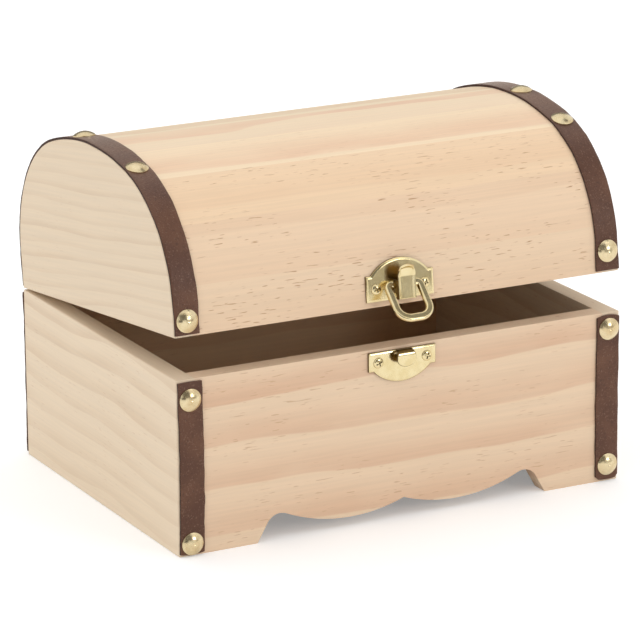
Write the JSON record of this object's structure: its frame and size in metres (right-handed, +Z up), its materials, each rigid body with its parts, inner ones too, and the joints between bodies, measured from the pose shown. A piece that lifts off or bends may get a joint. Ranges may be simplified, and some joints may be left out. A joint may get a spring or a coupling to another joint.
{
  "type": "treasure chest",
  "caption": "Small pine keepsake chest with a rounded staved lid on butt hinges, brown straps with domed nails, a scalloped front and a draw catch.",
  "frame": {"origin": "middle of the lower back edge of the box, on the floor", "axes": "+X to the viewer's right along the width, -Y out of the front, +Z up"},
  "size_m": [0.2, 0.1642, 0.1521],
  "materials": {
    "pine": "sanded pine, clear matt lacquer",
    "pine_lid": "sanded pine staves, clear matt lacquer",
    "plywood": "plain thin plywood",
    "leathercloth": "brown leathercloth, fine grain",
    "nail_brass": "polished brass plate",
    "catch_brass": "pressed sheet, pale brass plate",
    "hinge_brass": "pressed sheet, pale brass plate"
  },
  "bodies": {
    "base": {"back_panel": "pine", "base_nails": "nail_brass", "base_strap_back_left": "leathercloth", "base_strap_back_right": "leathercloth", "base_strap_front_left": "leathercloth", "base_strap_front_right": "leathercloth", "bottom_panel": "plywood", "front_panel": "pine", "hinge_base_screws": "hinge_brass", "hinge_left_base_leaf": "hinge_brass", "hinge_left_pin": "hinge_brass", "hinge_right_base_leaf": "hinge_brass", "hinge_right_pin": "hinge_brass", "hook_plate": "catch_brass", "hook_plate_screws": "catch_brass", "left_side": "pine", "right_side": "pine"},
    "lid": {"hinge_left_lid_leaf": "hinge_brass", "hinge_lid_screws": "hinge_brass", "hinge_right_lid_leaf": "hinge_brass", "latch_plate": "catch_brass", "latch_plate_screws": "catch_brass", "lid_left_end": "pine", "lid_nails": "nail_brass", "lid_right_end": "pine", "lid_stave_01": "pine_lid", "lid_stave_02": "pine_lid", "lid_stave_03": "pine_lid", "lid_stave_04": "pine_lid", "lid_stave_05": "pine_lid", "lid_stave_06": "pine_lid", "lid_stave_07": "pine_lid", "lid_stave_08": "pine_lid", "lid_stave_09": "pine_lid", "lid_stave_10": "pine_lid", "lid_strap_left": "leathercloth", "lid_strap_right": "leathercloth"},
    "lever": {"latch_lever": "catch_brass", "latch_lever_pin": "catch_brass"},
    "bail": {"latch_bail": "catch_brass"}
  },
  "joints": [
    {"name": "lid_hinge", "type": "hinge", "parent": "base", "child": "lid", "pos_m": [0, 0.0021, 0.07225], "axis": [-1, 0, 0], "range_deg": [-6.35, 98.65]},
    {"name": "lever_pivot", "type": "hinge", "parent": "lid", "child": "lever", "pos_m": [-0.0011, -0.14875, 0.09372], "axis": [1, 0, 0], "range_deg": [0, 58]},
    {"name": "bail_pivot", "type": "hinge", "parent": "lever", "child": "bail", "pos_m": [-0.0011, -0.14769, 0.09782], "axis": [-1, 0, 0], "range_deg": [0, 135]}
  ]
}
